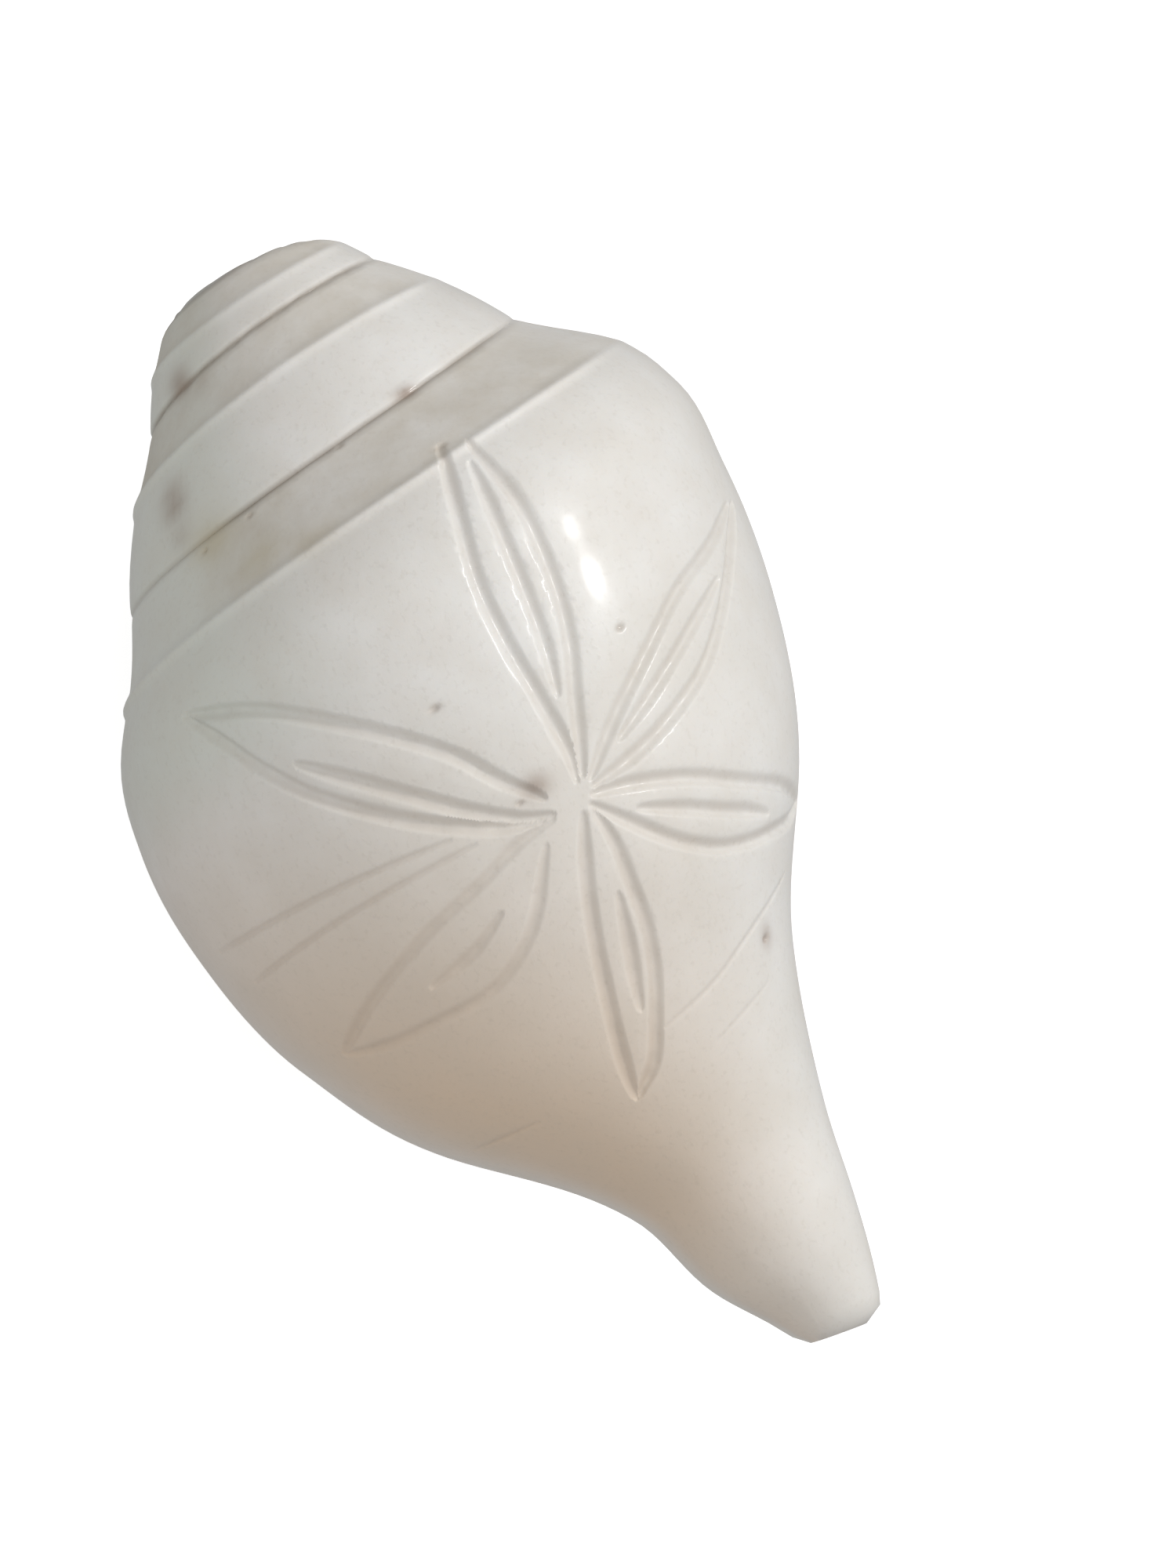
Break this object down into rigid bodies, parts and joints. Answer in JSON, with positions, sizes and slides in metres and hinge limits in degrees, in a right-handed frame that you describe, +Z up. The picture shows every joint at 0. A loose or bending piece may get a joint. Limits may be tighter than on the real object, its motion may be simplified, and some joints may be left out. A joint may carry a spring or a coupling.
{
  "type": "shankha conch",
  "caption": "Polished sacred chank conch with a sawn, drilled apex for blowing, an open mouth running into a canal, and a flower carved on its back.",
  "frame": {"origin": "bottom centre of the shell's box, on the surface that it rests on", "axes": "+X along the coil's axis, from the sawn apex to the canal's tip; the outer lip is on the -Y side; +Z up, out of the carved back"},
  "size_m": [0.1302, 0.0755, 0.0688],
  "materials": {
    "shell": "polished shell, ivory white"
  },
  "bodies": {
    "root": {"conch_shell": "shell"}
  },
  "joints": []
}
